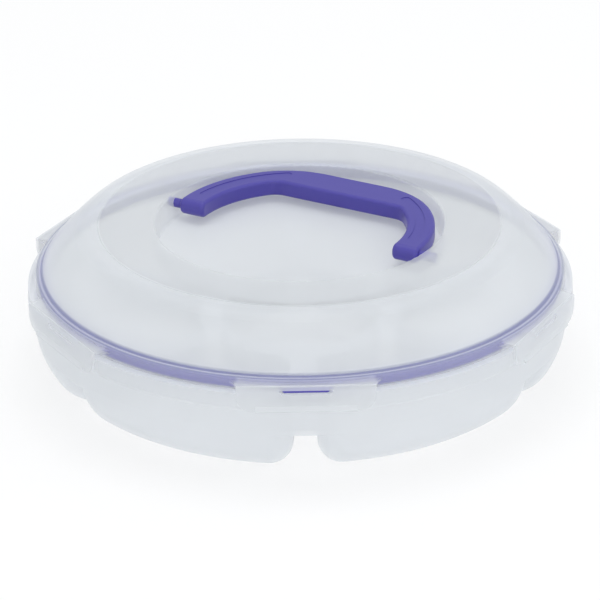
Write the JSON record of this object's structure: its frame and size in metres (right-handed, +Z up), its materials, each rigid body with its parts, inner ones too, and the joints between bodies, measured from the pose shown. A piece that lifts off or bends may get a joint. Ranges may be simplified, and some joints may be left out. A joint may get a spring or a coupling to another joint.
{
  "type": "divided snack container",
  "caption": "Round divided snack tray with a centre well, a domed lid on a gasket, side latches on hinges and a folding bail handle sunk in the top.",
  "frame": {"origin": "centre of the resting face, on the table", "axes": "+Z up; the front latch faces -Y; +X to the right seen from the front; the handle folds down towards the back right"},
  "size_m": [0.307, 0.308, 0.0888],
  "materials": {
    "tray": "frosted translucent plastic, smooth outside",
    "lid": "frosted translucent plastic, satin top",
    "latch": "frosted translucent plastic",
    "gasket": "soft violet silicone",
    "handle": "opaque violet plastic, satin"
  },
  "bodies": {
    "tray": {"tray": "tray"},
    "lid": {"lid": "lid", "gasket": "gasket"},
    "handle": {"handle": "handle"},
    "latch_front": {"latch_front": "latch"},
    "latch_front_right": {"latch_front_right": "latch"},
    "latch_back_right": {"latch_back_right": "latch"},
    "latch_back": {"latch_back": "latch"},
    "latch_back_left": {"latch_back_left": "latch"},
    "latch_front_left": {"latch_front_left": "latch"}
  },
  "joints": [
    {"name": "lid_lift", "type": "slide", "parent": "tray", "child": "lid", "axis": [0, 0, 1], "range_m": [0, 0.06]},
    {"name": "handle_pivot", "type": "hinge", "parent": "lid", "child": "handle", "pos_m": [0, 0, 0.0831], "axis": [0.866, -0.5, 0], "range_deg": [0, 180]},
    {"name": "latch_front_hinge", "type": "hinge", "parent": "lid", "child": "latch_front", "pos_m": [0, -0.152, 0.06], "axis": [-1, 0, 0], "range_deg": [0, 120]},
    {"name": "latch_front_right_hinge", "type": "hinge", "parent": "lid", "child": "latch_front_right", "pos_m": [0.13164, -0.076, 0.06], "axis": [-0.5, -0.866, 0], "range_deg": [0, 120]},
    {"name": "latch_back_right_hinge", "type": "hinge", "parent": "lid", "child": "latch_back_right", "pos_m": [0.13164, 0.076, 0.06], "axis": [0.5, -0.866, 0], "range_deg": [0, 120]},
    {"name": "latch_back_hinge", "type": "hinge", "parent": "lid", "child": "latch_back", "pos_m": [0, 0.152, 0.06], "axis": [1, 0, 0], "range_deg": [0, 120]},
    {"name": "latch_back_left_hinge", "type": "hinge", "parent": "lid", "child": "latch_back_left", "pos_m": [-0.13164, 0.076, 0.06], "axis": [0.5, 0.866, 0], "range_deg": [0, 120]},
    {"name": "latch_front_left_hinge", "type": "hinge", "parent": "lid", "child": "latch_front_left", "pos_m": [-0.13164, -0.076, 0.06], "axis": [-0.5, 0.866, 0], "range_deg": [0, 120]}
  ]
}
